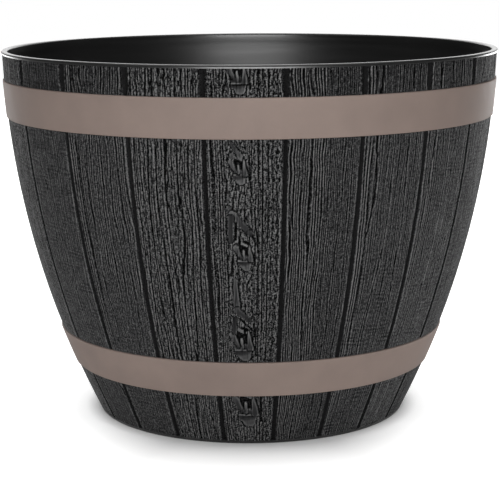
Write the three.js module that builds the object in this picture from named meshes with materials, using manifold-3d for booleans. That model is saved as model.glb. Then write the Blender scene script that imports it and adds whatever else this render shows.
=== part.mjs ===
// A barrel planter: one moulded shell whose outside imitates wooden staves, two hoops snapped into
// recesses round it, and pull-out plugs in the drain holes of its floor.
// Millimetres, +Z up. The origin is on the ground, on the planter's axis. The front is -Y.

import * as THREE from "three";
import { mergeVertices } from "three/addons/utils/BufferGeometryUtils.js";
import Module from "manifold-3d";

// ---- Driving dimensions -------------------------------------------------------------------------

// Outline of the pot
const HEIGHT = 292; // ground to the top of the lip
const RIM_RADIUS = 197; // outside of the lip
const FOOT_RADIUS = 123.9; // outside of the foot, on the ground
const BELLY = 16.4; // how far the wall's arc bows out from the straight line between foot and rim
const WALL = 3.4; // thickness of the wall, measured level
const FLOOR = 4; // thickness of the floor

// Lip
const LIP_WIDTH = 4.8; // across the lip's top, outside to inside
const LIP_HEIGHT = 2.4; // smooth strip above the stave relief
const LIP_PROUD = 0.6; // the lip stands this far outside the staves
const LIP_ROUND = 0.9; // radius of the lip's two top edges

// Foot
const FOOT_WIDTH = 6.5; // width of the ring that the pot stands on
const FOOT_RISE = 6; // the floor's underside lies this far above the ground
const FOOT_STRIP = 2.4; // plain strip at the ground, below the seams
const FOOT_CHAMFER = 0.6; // bevel round the outside of the standing ring
const FLOOR_FILLET = 7; // radius between the floor and the wall inside

// Staves
const STAVES = 21;
const FRONT_SEAM_DEG = 7.47; // the seam just right of the front, turned from the front towards +X
const SEAM_DRIFT_DEG = 0.6; // seams draw together towards the front by up to this turn
const SEAM_WIDTH = 2.6; // mouth of the V between two staves
const SEAM_DEPTH = 1.3;

// Hoops
const UPPER_BAND_HEIGHT = 29.2;
const UPPER_BAND_DROP = 22.5; // from the lip's top down to its upper edge
const LOWER_BAND_HEIGHT = 28.3;
const LOWER_BAND_BOTTOM = 42.7; // height of its lower edge above the ground
const BAND_THICKNESS = 2.2;
const BAND_PROUD = 1.1; // each hoop stands this far outside the staves
const BAND_BEVEL = 0.5; // on its two outer edges
const BAND_CLEARANCE = 0.3; // round a hoop in its recess

// Drain holes and their plugs
const DRAIN_RADIUS = 8; // wall of a hole
const DRAIN_RING_RADIUS = 72; // from the axis to the outer holes
const OUTER_DRAINS = 4;
const PLUG_HEAD_RADIUS = 11.5;
const PLUG_HEAD = 2.4; // thickness of the head
const PLUG_HEAD_BEVEL = 0.8; // round the head's upper edge
const PLUG_SUNK = 1.4; // depth of the head's seat in the floor
const PLUG_CLEARANCE = 0.3; // round a plug in its hole and seat
const PLUG_TAPER = 0.8; // the stem narrows by this much to its tip
const PLUG_REACH = 1.5; // the stem's tip lies this far below the floor's underside
const GRIP_RADIUS = 4.2; // knob that a finger and thumb pull
const GRIP_BEVEL = 1.4; // round the knob's upper edge
const GRIP_NECK_RADIUS = 2.8;
const GRIP_NECK_HEIGHT = 2.4; // plain neck between head and knob
const GRIP_HEIGHT = 8; // neck and knob together

// Fineness of the faceted surfaces
const FACE_STEPS = 3; // flats across one stave
const WALL_STEPS = 8; // flats up the wall
const TURN_STEPS = 60; // flats round the smooth pieces
const PLUG_STEPS = 20;
const FILLET_STEPS = 3;

// ---- Values that follow from them ---------------------------------------------------------------

const TURN = 2 * Math.PI;
const FACE_TOP_RADIUS = RIM_RADIUS - LIP_PROUD; // the staves' face, carried on to the lip's top
const FLOOR_TOP = FOOT_RISE + FLOOR;
const INNER_RIM_RADIUS = RIM_RADIUS - LIP_WIDTH;
const UPPER_BAND_BOTTOM = HEIGHT - UPPER_BAND_DROP - UPPER_BAND_HEIGHT;
const PLUG_SEAT_RADIUS = PLUG_HEAD_RADIUS + PLUG_CLEARANCE;
const RECESS_DEPTH = BAND_THICKNESS - BAND_PROUD + BAND_CLEARANCE;
const OVERSHOOT = 1; // a cutting shape runs this far past the surface that it opens

/** The circular arc that the staves' face follows, bowed out by BELLY between foot and rim. */
function wallArc() {
  const foot = new THREE.Vector2(FOOT_RADIUS, 0);
  const rim = new THREE.Vector2(FACE_TOP_RADIUS, HEIGHT);
  const chord = rim.clone().sub(foot);
  const half = chord.length() / 2;
  const radius = (half * half + BELLY * BELLY) / (2 * BELLY);
  const outward = new THREE.Vector2(chord.y, -chord.x).normalize();
  const middle = foot.clone().add(rim).multiplyScalar(0.5);
  const centre = middle.addScaledVector(outward, BELLY - radius);
  return { centre, radius };
}

const ARC = wallArc();

/** Radius of the staves' face at a height. */
function faceRadius(z) {
  const rise = z - ARC.centre.y;
  return ARC.centre.x + Math.sqrt(ARC.radius * ARC.radius - rise * rise);
}

/** Radius of the wall's smooth inside at a height. */
function insideRadius(z) {
  return faceRadius(z) - WALL;
}

/** Heights from bottom to top in equal steps, both ends included. */
function heights(bottom, top, steps) {
  return Array.from({ length: steps + 1 }, (_, i) => bottom + ((top - bottom) * i) / steps);
}

// ---- Solids -------------------------------------------------------------------------------------

const wasm = await Module();
wasm.setup();

/** A closed three.js geometry as a solid that can be cut and joined. */
function solid(geometry) {
  const bare = geometry.clone();
  bare.deleteAttribute("normal");
  bare.deleteAttribute("uv");
  const merged = mergeVertices(bare, 1e-4);
  const mesh = new wasm.Mesh({
    numProp: 3,
    vertProperties: new Float32Array(merged.attributes.position.array),
    triVerts: new Uint32Array(merged.index.array),
  });
  return new wasm.Manifold(mesh);
}

/** A solid as a three.js geometry again. */
function geometryOf(body) {
  const mesh = body.getMesh();
  const geometry = new THREE.BufferGeometry();
  geometry.setAttribute("position", new THREE.BufferAttribute(mesh.vertProperties, mesh.numProp));
  geometry.setIndex(new THREE.BufferAttribute(mesh.triVerts, 1));
  geometry.computeVertexNormals();
  return geometry;
}

/** Turns an outline of [radius, height] points round +Z. It starts and ends on the axis, or closes. */
function turned(outline, steps = TURN_STEPS) {
  const points = outline.map(([radius, z]) => new THREE.Vector2(radius, z));
  const geometry = new THREE.LatheGeometry(points, steps);
  geometry.rotateX(Math.PI / 2);
  return geometry;
}

/** Points on a quarter round from one corner of it to the other, both ends included. */
function quarterRound(centreRadius, centreZ, radius, fromDeg, toDeg) {
  return heights(fromDeg, toDeg, FILLET_STEPS).map((deg) => {
    const angle = THREE.MathUtils.degToRad(deg);
    return [centreRadius + radius * Math.cos(angle), centreZ + radius * Math.sin(angle)];
  });
}

// ---- Shell --------------------------------------------------------------------------------------

/** Angle of a seam, in radians from +X. The front is -Y. */
function seamAngle(index) {
  const fromFront = THREE.MathUtils.degToRad(FRONT_SEAM_DEG) + (TURN * index) / STAVES;
  const drift = THREE.MathUtils.degToRad(SEAM_DRIFT_DEG) * Math.sin(fromFront);
  return fromFront - drift - Math.PI / 2;
}

/** One level ring of the outside: [x, y, z] points, with a V at each seam when depth is above 0. */
function staveRing(radius, z, depth) {
  const ring = [];
  const put = (angle, r) => ring.push([r * Math.cos(angle), r * Math.sin(angle), z]);
  const halfMouth = SEAM_WIDTH / 2 / radius;
  for (let i = 0; i < STAVES; i += 1) {
    const left = seamAngle(i);
    const right = i + 1 < STAVES ? seamAngle(i + 1) : seamAngle(0) + TURN;
    put(left, radius - depth);
    for (let step = 0; step <= FACE_STEPS; step += 1) {
      const share = step / FACE_STEPS;
      put(THREE.MathUtils.lerp(left + halfMouth, right - halfMouth, share), radius);
    }
  }
  return ring;
}

/** Rings of equal length, lowest first, skinned into one closed solid with a flat top and bottom. */
function skinned(rings) {
  const count = rings[0].length;
  const positions = rings.flat(2);
  const faces = [];
  for (let level = 0; level + 1 < rings.length; level += 1) {
    for (let i = 0; i < count; i += 1) {
      const next = (i + 1) % count;
      const low = level * count;
      const high = low + count;
      faces.push(low + i, low + next, high + next, low + i, high + next, high + i);
    }
  }
  const bottomCentre = positions.length / 3;
  positions.push(0, 0, rings[0][0][2]);
  const topCentre = bottomCentre + 1;
  positions.push(0, 0, rings[rings.length - 1][0][2]);
  const topStart = (rings.length - 1) * count;
  for (let i = 0; i < count; i += 1) {
    const next = (i + 1) % count;
    faces.push(bottomCentre, next, i);
    faces.push(topCentre, topStart + i, topStart + next);
  }
  const geometry = new THREE.BufferGeometry();
  geometry.setAttribute("position", new THREE.Float32BufferAttribute(positions, 3));
  geometry.setIndex(faces);
  return geometry;
}

/** The pot's outside with nothing hollowed yet: foot strip, staves with their seams, and lip. */
function outsideBlock() {
  const seamsFrom = FOOT_STRIP;
  const seamsTo = HEIGHT - LIP_HEIGHT;
  const rings = [
    staveRing(FOOT_RADIUS - FOOT_CHAMFER, 0, 0),
    staveRing(faceRadius(FOOT_CHAMFER), FOOT_CHAMFER, 0),
    staveRing(faceRadius(seamsFrom), seamsFrom, 0),
  ];
  for (const z of heights(seamsFrom + SEAM_DEPTH, seamsTo, WALL_STEPS)) {
    rings.push(staveRing(faceRadius(z), z, SEAM_DEPTH));
  }
  rings.push(staveRing(RIM_RADIUS, seamsTo, 0));
  for (const [radius, z] of quarterRound(RIM_RADIUS - LIP_ROUND, HEIGHT - LIP_ROUND, LIP_ROUND, 0, 90)) {
    rings.push(staveRing(radius, z, 0));
  }
  return skinned(rings);
}

/** The smooth hollow that holds the soil, with rounded lip edge and rounded floor corner. */
function hollow() {
  const wallTop = HEIGHT - LIP_HEIGHT - LIP_WIDTH; // from here up the wall thickens into the lip
  const filletTop = FLOOR_TOP + FLOOR_FILLET;
  const outline = [[0, FLOOR_TOP]];
  const filletRadius = insideRadius(filletTop) - FLOOR_FILLET;
  outline.push(...quarterRound(filletRadius, filletTop, FLOOR_FILLET, -90, 0));
  for (const z of heights(filletTop, wallTop, WALL_STEPS).slice(1)) {
    outline.push([insideRadius(z), z]);
  }
  const lipTurn = INNER_RIM_RADIUS + LIP_ROUND;
  outline.push(...quarterRound(lipTurn, HEIGHT - LIP_ROUND, LIP_ROUND, 180, 90));
  outline.push([lipTurn, HEIGHT + OVERSHOOT]);
  outline.push([0, HEIGHT + OVERSHOOT]);
  return turned(outline);
}

/** The recess under the floor, inside the ring that the pot stands on. */
function undersideRecess() {
  const radius = FOOT_RADIUS - FOOT_CHAMFER - FOOT_WIDTH;
  return turned([
    [0, -OVERSHOOT],
    [radius, -OVERSHOOT],
    [radius, FOOT_RISE],
    [0, FOOT_RISE],
  ]);
}

/** A drain hole and the seat of its plug's head, cut through the floor. */
function drainCut(centre) {
  const geometry = turned(
    [
      [0, FOOT_RISE - OVERSHOOT],
      [DRAIN_RADIUS, FOOT_RISE - OVERSHOOT],
      [DRAIN_RADIUS, FLOOR_TOP - PLUG_SUNK],
      [PLUG_SEAT_RADIUS, FLOOR_TOP - PLUG_SUNK],
      [PLUG_SEAT_RADIUS, FLOOR_TOP + OVERSHOOT],
      [0, FLOOR_TOP + OVERSHOOT],
    ],
    PLUG_STEPS,
  );
  return geometry.translate(centre.x, centre.y, 0);
}

/** The recess round the wall that a hoop snaps into. */
function bandRecess(bottom, height) {
  const low = bottom - BAND_CLEARANCE;
  const high = bottom + height + BAND_CLEARANCE;
  const outer = RIM_RADIUS + OVERSHOOT;
  return turned([
    [faceRadius(low) - RECESS_DEPTH, low],
    [outer, low],
    [outer, high],
    [faceRadius(high) - RECESS_DEPTH, high],
    [faceRadius(low) - RECESS_DEPTH, low],
  ]);
}

/** Centres of the drain holes: one on the axis and the others evenly round it. */
function drainCentres() {
  const centres = [new THREE.Vector2(0, 0)];
  for (let i = 0; i < OUTER_DRAINS; i += 1) {
    const angle = (TURN * (i + 0.5)) / OUTER_DRAINS;
    centres.push(new THREE.Vector2(Math.cos(angle), Math.sin(angle)).multiplyScalar(DRAIN_RING_RADIUS));
  }
  return centres;
}

/** The whole moulded shell. */
function planterShell() {
  let shell = solid(outsideBlock());
  shell = shell.subtract(solid(hollow()));
  shell = shell.subtract(solid(undersideRecess()));
  shell = shell.subtract(solid(bandRecess(UPPER_BAND_BOTTOM, UPPER_BAND_HEIGHT)));
  shell = shell.subtract(solid(bandRecess(LOWER_BAND_BOTTOM, LOWER_BAND_HEIGHT)));
  for (const centre of drainCentres()) {
    shell = shell.subtract(solid(drainCut(centre)));
  }
  return geometryOf(shell);
}

// ---- Hoops --------------------------------------------------------------------------------------

/** A hoop that follows the wall, with its two outer edges bevelled. */
function hoop(bottom, height) {
  const top = bottom + height;
  const outer = (z) => faceRadius(z) + BAND_PROUD;
  const inner = (z) => outer(z) - BAND_THICKNESS;
  return turned([
    [inner(bottom), bottom],
    [outer(bottom) - BAND_BEVEL, bottom],
    [outer(bottom + BAND_BEVEL), bottom + BAND_BEVEL],
    [outer(top - BAND_BEVEL), top - BAND_BEVEL],
    [outer(top) - BAND_BEVEL, top],
    [inner(top), top],
    [inner(bottom), bottom],
  ]);
}

// ---- Drain plugs --------------------------------------------------------------------------------

/** A plug: tapered stem, head in its seat, and a knob to pull it by. */
function drainPlug(centre) {
  const headBottom = FLOOR_TOP - PLUG_SUNK + PLUG_CLEARANCE;
  const headTop = headBottom + PLUG_HEAD;
  const tip = FOOT_RISE - PLUG_REACH;
  const stem = DRAIN_RADIUS - PLUG_CLEARANCE;
  const neckTop = headTop + GRIP_NECK_HEIGHT;
  const gripTop = headTop + GRIP_HEIGHT;
  const geometry = turned(
    [
      [0, tip],
      [stem - PLUG_TAPER, tip],
      [stem, headBottom],
      [PLUG_HEAD_RADIUS, headBottom],
      [PLUG_HEAD_RADIUS, headTop - PLUG_HEAD_BEVEL],
      [PLUG_HEAD_RADIUS - PLUG_HEAD_BEVEL, headTop],
      [GRIP_NECK_RADIUS, headTop],
      [GRIP_NECK_RADIUS, neckTop],
      [GRIP_RADIUS, neckTop + GRIP_RADIUS - GRIP_NECK_RADIUS],
      [GRIP_RADIUS, gripTop - GRIP_BEVEL],
      [GRIP_RADIUS - GRIP_BEVEL, gripTop],
      [0, gripTop],
    ],
    PLUG_STEPS,
  );
  return geometry.translate(centre.x, centre.y, 0);
}

// ---- Materials and assembly ---------------------------------------------------------------------

const charcoalResin = new THREE.MeshStandardMaterial({ color: 0x333333, roughness: 0.7, metalness: 0 });
const taupePaint = new THREE.MeshStandardMaterial({ color: 0x8b7e77, roughness: 0.6, metalness: 0 });
const blackRubber = new THREE.MeshStandardMaterial({ color: 0x1c1c1c, roughness: 0.8, metalness: 0 });

/** A named piece with a material of its own. */
function piece(name, geometry, material) {
  const mesh = new THREE.Mesh(geometry, material.clone());
  mesh.name = name;
  return mesh;
}

const planter = new THREE.Group();
planter.add(piece("planter_shell", planterShell(), charcoalResin));
planter.add(piece("upper_band", hoop(UPPER_BAND_BOTTOM, UPPER_BAND_HEIGHT), taupePaint));
planter.add(piece("lower_band", hoop(LOWER_BAND_BOTTOM, LOWER_BAND_HEIGHT), taupePaint));
drainCentres().forEach((centre, index) => {
  planter.add(piece(`drain_plug_${index + 1}`, drainPlug(centre), blackRubber));
});

export default planter;
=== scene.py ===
"""A barrel planter in moulded resin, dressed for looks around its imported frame.

The pot is one moulding whose outside imitates charred staves. Here it is a smooth turned core, with
the carved face of each stave laid round it as a relief, and with its hoops and drain plugs.
Metres and +Z up. The origin is on the ground, on the pot's axis, and the front is -Y.
"""

import logging
import math
from dataclasses import dataclass, field, replace
from enum import Enum
from typing import Callable, Sequence

import bmesh
import bpy
import numpy as np
from mathutils import Matrix, Vector


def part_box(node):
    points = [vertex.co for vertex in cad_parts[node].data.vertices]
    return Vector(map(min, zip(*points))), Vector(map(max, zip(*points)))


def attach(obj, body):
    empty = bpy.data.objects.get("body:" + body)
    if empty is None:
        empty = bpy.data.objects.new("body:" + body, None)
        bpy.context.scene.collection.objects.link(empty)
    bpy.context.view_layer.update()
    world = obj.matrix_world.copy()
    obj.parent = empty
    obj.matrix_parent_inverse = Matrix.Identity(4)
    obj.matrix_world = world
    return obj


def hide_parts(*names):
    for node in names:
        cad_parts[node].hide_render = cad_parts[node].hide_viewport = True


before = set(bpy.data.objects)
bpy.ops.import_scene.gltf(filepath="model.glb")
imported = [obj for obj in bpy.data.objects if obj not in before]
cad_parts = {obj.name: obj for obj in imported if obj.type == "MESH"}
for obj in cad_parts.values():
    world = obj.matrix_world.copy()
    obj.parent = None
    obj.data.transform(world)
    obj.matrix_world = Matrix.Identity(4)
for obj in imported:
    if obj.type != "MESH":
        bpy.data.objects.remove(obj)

log = logging.getLogger("barrel_planter")

MM = 0.001  # one millimetre in metres
FULL_TURN = 2 * math.pi
SAME_POINT = 0.001 * MM  # points closer than this are one point
CRISP_ANGLE = 35.0  # faces that meet at more than this, in degrees, keep a crisp edge between them
TONE = "tone"  # point attribute: the grain's shade, from 0 in the painted shade of a crack to 1 at a painted highlight on a crest
STIPPLE = "stipple"  # point attribute: how rough the grain is between its lines
BAKE_MAP = "OFBake"  # UV map of a stave, one straight sheet from its foot to its top
PHOTO_SIDE = 500  # the photograph's width and height in pixels
TIMES = {"operation": "MULTIPLY"}  # makes a Math node give in_0 times in_1
TIMES_PLUS = {"operation": "MULTIPLY_ADD"}  # makes it give in_0 times in_1, plus in_2
COLOURS = {"data_type": "RGBA"}  # makes a Mix node mix the colours in_6 and in_7 into output 2

Socket = bpy.types.NodeSocket
Field = np.ndarray
Profile = list[tuple[float, float]]


# ---- Small helpers ------------------------------------------------------------------------------


def linear_colour(srgb_hex: str) -> tuple[float, float, float, float]:
    """Turns an sRGB hex colour into Blender's linear RGBA.

    Args:
        srgb_hex: Six hex digits, such as "8b7e77".

    Returns:
        Red, green, blue and an alpha of 1.
    """
    channels = [int(srgb_hex[i : i + 2], 16) / 255 for i in (0, 2, 4)]
    bent = [c / 12.92 if c <= 0.04045 else ((c + 0.055) / 1.055) ** 2.4 for c in channels]
    return (bent[0], bent[1], bent[2], 1.0)


def smooth_step(value: Field, low: float, high: float) -> Field:
    """Eases from 0 at low to 1 at high, which may lie below low."""
    share = np.clip((value - low) / (high - low), 0.0, 1.0)
    return share * share * (3 - 2 * share)


def blend_fields(first: Field, second: Field, share: Field) -> Field:
    """Mixes two fields, all first at a share of 0 and all second at 1."""
    return first + (second - first) * share


def arc_points(centre: tuple[float, float], radius: float, start: float, end: float, steps: int) -> Profile:
    """Points on an arc in the (radius, height) plane. Its angles run in degrees from outward to up."""
    angles = np.radians(np.linspace(start, end, steps + 1))
    return [(centre[0] + radius * math.cos(a), centre[1] + radius * math.sin(a)) for a in angles]


def fill(node: bpy.types.Node, **inputs: object) -> None:
    """Gives a node's inputs their values and links.

    Args:
        node: The node.
        **inputs: For each input, named with _ for a space or by number as in_0, a value or an output.
    """
    for name, value in inputs.items():
        key = int(name[3:]) if name.startswith("in_") else name.replace("_", " ")
        if isinstance(value, Socket):
            node.id_data.links.new(value, node.inputs[key])
        else:
            node.inputs[key].default_value = value


def add_node(
    tree: bpy.types.NodeTree,
    kind: str,
    settings: dict[str, object] | None = None,
    out: int | str = 0,
    **inputs: object,
) -> Socket:
    """Adds a node with its settings and its links.

    Args:
        tree: The node tree that gets the node.
        kind: The node's type without its prefix, such as "TexNoise".
        settings: Values of the node's own properties.
        out: Number or name of the output to give back.
        **inputs: Values and links of its inputs, as fill takes them.

    Returns:
        The node's output.
    """
    node = tree.nodes.new(f"ShaderNode{kind}")
    for name, value in (settings or {}).items():
        setattr(node, name, value)
    fill(node, **inputs)
    return node.outputs[out]


def new_material(name: str) -> tuple[bpy.types.Material, bpy.types.NodeTree, bpy.types.Node, Socket]:
    """Makes a material that holds one Principled shader.

    Args:
        name: The material's name.

    Returns:
        The material, its node tree, its shader, and each point's place on the object.
    """
    material = bpy.data.materials.new(name)
    material.use_nodes = True
    tree = material.node_tree
    place = add_node(tree, "TexCoord", out="Object")
    return material, tree, tree.nodes["Principled BSDF"], place


def mark_sharp(mesh_bm: bmesh.types.BMesh) -> None:
    """Shades a mesh smooth and keeps its edges crisp where faces meet at more than the crisp angle.

    Args:
        mesh_bm: The mesh to shade.
    """
    limit = math.radians(CRISP_ANGLE)
    for face in mesh_bm.faces:
        face.smooth = True
    for edge in mesh_bm.edges:
        edge.smooth = len(edge.link_faces) == 2 and edge.calc_face_angle(0.0) < limit


def new_object(name: str, data: bpy.types.ID) -> bpy.types.Object:
    """Puts an object in the scene.

    Args:
        name: The object's name.
        data: Its mesh, lamp or camera.

    Returns:
        The object, at the origin.
    """
    thing = bpy.data.objects.new(name, data)
    bpy.context.scene.collection.objects.link(thing)
    return thing


def piece_from(mesh_bm: bmesh.types.BMesh, name: str, material: bpy.types.Material) -> bpy.types.Object:
    """Turns a bmesh into a named object with its material, at the origin.

    Args:
        mesh_bm: The mesh, which is freed.
        name: The object's name.
        material: The finish that the whole piece gets.

    Returns:
        The new object.
    """
    mesh = bpy.data.meshes.new(name)
    mesh_bm.to_mesh(mesh)
    mesh_bm.free()
    mesh.materials.append(material)
    return new_object(name, mesh)


def turned(profile: Profile, steps: int, angle: float = FULL_TURN) -> bmesh.types.BMesh:
    """Turns an outline round +Z into a closed solid.

    Args:
        profile: (radius, height) points. It starts and ends on the axis, or closes on itself.
        steps: How many steps the turn gets.
        angle: How far it turns from +X, in radians. Under a full turn, the two ends are closed.

    Returns:
        The solid, with its faces outwards.
    """
    mesh_bm = bmesh.new()
    points = [mesh_bm.verts.new((radius, 0.0, height)) for radius, height in profile]
    is_ring = profile[0][0] > 0
    ends = points[1:] + points[:1] if is_ring else points[1:]
    edges = [mesh_bm.edges.new(pair) for pair in zip(points, ends)]
    around = {"cent": (0, 0, 0), "axis": (0, 0, 1), "angle": angle, "steps": steps}
    bmesh.ops.spin(mesh_bm, geom=points + edges, use_merge=angle == FULL_TURN, **around)
    bmesh.ops.remove_doubles(mesh_bm, verts=mesh_bm.verts, dist=SAME_POINT)
    open_ends = [edge for edge in mesh_bm.edges if edge.is_boundary]
    bmesh.ops.holes_fill(mesh_bm, edges=open_ends, sides=0)
    bmesh.ops.recalc_face_normals(mesh_bm, faces=mesh_bm.faces)
    return mesh_bm


def read_all(items: bpy.types.bpy_prop_collection, key: str, kind: type, wide: int = 1) -> Field:
    """Reads one property of all of a mesh's points, edges, faces or corners.

    Args:
        items: The mesh's collection.
        key: The property.
        kind: The type of its numbers.
        wide: How many numbers each item has.

    Returns:
        One number for each item, or one row of numbers.
    """
    values = np.empty(len(items) * wide, kind)
    items.foreach_get(key, values)
    return values.reshape(-1, wide) if wide > 1 else values


# ---- Sizes shared by the pieces -----------------------------------------------------------------


@dataclass(frozen=True)
class WallCurve:
    """The arc that the staves' face follows from the foot to the lip, with the seams between them."""

    height: float
    rim_radius: float
    foot_radius: float = 123.9 * MM
    belly: float = 16.4 * MM
    wall: float = 3.4 * MM
    lip_width: float = 4.8 * MM
    lip_height: float = 2.4 * MM
    lip_proud: float = 0.6 * MM
    foot_strip: float = 2.4 * MM
    staves: int = 21
    front_seam: float = 7.47  # degrees from the front to the seam just right of it
    seam_drift: float = 0.6  # degrees by which seams draw together towards the front

    def face_radius(self, height: float | Field) -> float | Field:
        """Radius of the staves' face.

        Args:
            height: Height above the ground.

        Returns:
            The radius there.
        """
        top_radius = self.rim_radius - self.lip_proud
        out = np.array([top_radius - self.foot_radius, self.height])
        half = np.linalg.norm(out) / 2
        radius = (half * half + self.belly * self.belly) / (2 * self.belly)
        outward = np.array([out[1], -out[0]]) / (2 * half)
        centre = np.array([self.foot_radius, 0.0]) + out / 2 + outward * (self.belly - radius)
        return centre[0] + np.sqrt(radius * radius - (height - centre[1]) ** 2)

    def inside_radius(self, height: float | Field) -> float | Field:
        """Radius of the smooth inside at a height above the ground."""
        return self.face_radius(height) - self.wall

    def seam_angle(self, index: int) -> float:
        """Angle of a seam in radians from +X.

        Args:
            index: The seam. Seam 0 lies just right of the front.

        Returns:
            The angle.
        """
        from_front = math.radians(self.front_seam) + FULL_TURN * index / self.staves
        drift = math.radians(self.seam_drift) * math.sin(from_front)
        return from_front - drift - math.pi / 2

    @property
    def carved_top(self) -> float:
        """Height at which the carved face ends under the lip."""
        return self.height - self.lip_height


@dataclass(frozen=True)
class HoopPlace:
    """Where one hoop lies on the wall, and the recess that it snaps into."""

    node: str
    bottom: float
    top: float
    thickness: float = 2.2 * MM
    proud: float = 1.1 * MM
    clearance: float = 0.3 * MM

    @property
    def recess_depth(self) -> float:
        """How far the recess is sunk below the staves' face."""
        return self.thickness - self.proud + self.clearance

    @property
    def recess(self) -> tuple[float, float]:
        """Lower and upper edge of the recess."""
        return self.bottom - self.clearance, self.top + self.clearance


# ---- Finishes -----------------------------------------------------------------------------------


@dataclass(frozen=True)
class CharredResin:
    """Moulded charcoal polypropylene with charred-wood grain.

    The tool's etched texture leaves the grooves matt, and handling rubs the crests slightly smoother. Their
    colour is painted shade and painted highlight from the stave's tone: nearly black in the grooves, a
    lighter grey on the crests. The etching's crooked worms and its grit are about 0.5 and 0.2 mm on such a
    pot, too fine to show here, so they are drawn as coarse as they need to be.
    Values in pairs belong to the grooves and to the crests.
    """

    # groove colour: painted shade; crest colour: painted highlight
    colours: tuple[str, str, str] = ("040404", "1f1f20", "646464")
    tones: tuple[float, float, float] = (0.1, 0.5, 1.0)  # the tone at which each colour is reached
    ior: float = 1.49
    roughness: tuple[float, float] = (0.85, 0.6)
    # the grooves' low shine is painted shade on their reflection
    shine: tuple[float, float] = (0.02, 0.5)
    worm_size: float = 1.1 * MM
    worm_rise: float = 0.22 * MM
    worm_share: float = 0.75  # how much of the tone the worms sway
    worm_squeeze: float = 1.1  # their height is this much less than their width
    grit_size: float = 0.8 * MM
    grit_share: float = 0.17
    grit_rise: float = 0.15  # as a share of the worms' rise
    smoothed: tuple[float, float] = (0.35, 0.1)  # below this stipple the grit fades, to this share

    def material(self) -> bpy.types.Material:
        """Makes the material, which reads the stave's own tone and stipple attributes.

        Returns:
            The material.
        """
        material, tree, shader, place = new_material("charred_resin")
        tone = add_node(tree, "Attribute", {"attribute_name": TONE}, "Fac")
        rough = add_node(tree, "Attribute", {"attribute_name": STIPPLE}, "Fac")
        squeezed = add_node(tree, "Mapping", Vector=place, Scale=(1, 1, self.worm_squeeze))
        worm_scale = 1 / self.worm_size
        worms = add_node(tree, "TexNoise", Vector=squeezed, Scale=worm_scale, Detail=2.0, Roughness=0.6)
        grit = add_node(tree, "TexNoise", Vector=place, Scale=1 / self.grit_size, Detail=1.0)
        centred = add_node(tree, "MapRange", Value=worms, in_1=0.35, in_2=0.65, in_3=-0.5, in_4=0.5)
        swayed = add_node(tree, "Math", TIMES, in_0=centred, in_1=rough)
        speckled = add_node(tree, "Math", TIMES_PLUS, in_0=swayed, in_1=self.worm_share, in_2=tone)
        share = self.grit_share
        specks = add_node(tree, "MapRange", Value=grit, in_1=0.3, in_2=0.7, in_3=-share, in_4=share)
        full, least = self.smoothed
        unsmoothed = add_node(tree, "MapRange", Value=rough, in_1=0.0, in_2=full, in_3=least)
        dusted = add_node(tree, "Math", TIMES_PLUS, in_0=specks, in_1=unsmoothed, in_2=speckled)
        colour = add_node(tree, "ValToRGB", in_0=dusted)
        stops = colour.node.color_ramp.elements
        stops.new(self.tones[1])
        for stop, tone_value, colour_hex in zip(stops, self.tones, self.colours):
            stop.position, stop.color = tone_value, linear_colour(colour_hex)
        matt, shine = (
            add_node(tree, "MapRange", Value=dusted, in_3=groove, in_4=crest)
            for groove, crest in (self.roughness, self.shine)
        )
        height = add_node(tree, "Math", TIMES_PLUS, in_0=grit, in_1=self.grit_rise, in_2=swayed)
        bump = add_node(tree, "Bump", Height=height, Distance=self.worm_rise, Strength=1.0)
        fill(shader, Base_Color=colour, Roughness=matt, Specular_IOR_Level=shine, Normal=bump, IOR=self.ior)
        return material


@dataclass(frozen=True)
class PatchyFinish:
    """A finish that drifts between two shades in soft patches, under a fine raised skin.

    Values in pairs belong to the two shades. The patch's sizes run along X, Y and Z.
    """

    name: str
    shades: tuple[str, str]
    roughness: tuple[float, float]
    ior: float
    shine: float
    patch: tuple[float, float, float]
    patch_detail: float
    skin_size: float
    skin_rise: float

    def material(self) -> bpy.types.Material:
        """Makes the material.

        Returns:
            The material.
        """
        material, tree, shader, place = new_material(self.name)
        scale = [1 / size for size in self.patch]
        spread = add_node(tree, "Mapping", Vector=place, Scale=scale)
        patches = add_node(tree, "TexNoise", Vector=spread, Scale=1.0, Detail=self.patch_detail)
        first, second = (linear_colour(shade) for shade in self.shades)
        colour = add_node(tree, "Mix", COLOURS, 2, Factor=patches, in_6=first, in_7=second)
        low, high = self.roughness
        rough = add_node(tree, "MapRange", Value=patches, in_1=0.3, in_2=0.7, in_3=low, in_4=high)
        skin = add_node(tree, "TexNoise", Vector=place, Scale=1 / self.skin_size, Detail=2.0)
        bump = add_node(tree, "Bump", Height=skin, Distance=self.skin_rise, Strength=1.0)
        fill(shader, Base_Color=colour, Roughness=self.wear_and_sheen(tree, place, rough), Normal=bump)
        fill(shader, IOR=self.ior, Specular_IOR_Level=self.shine)
        return material

    def wear_and_sheen(self, tree: bpy.types.NodeTree, place: Socket, rough: Socket) -> Socket:
        """The roughness after wear, which most finishes here don't show."""
        return rough


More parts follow.
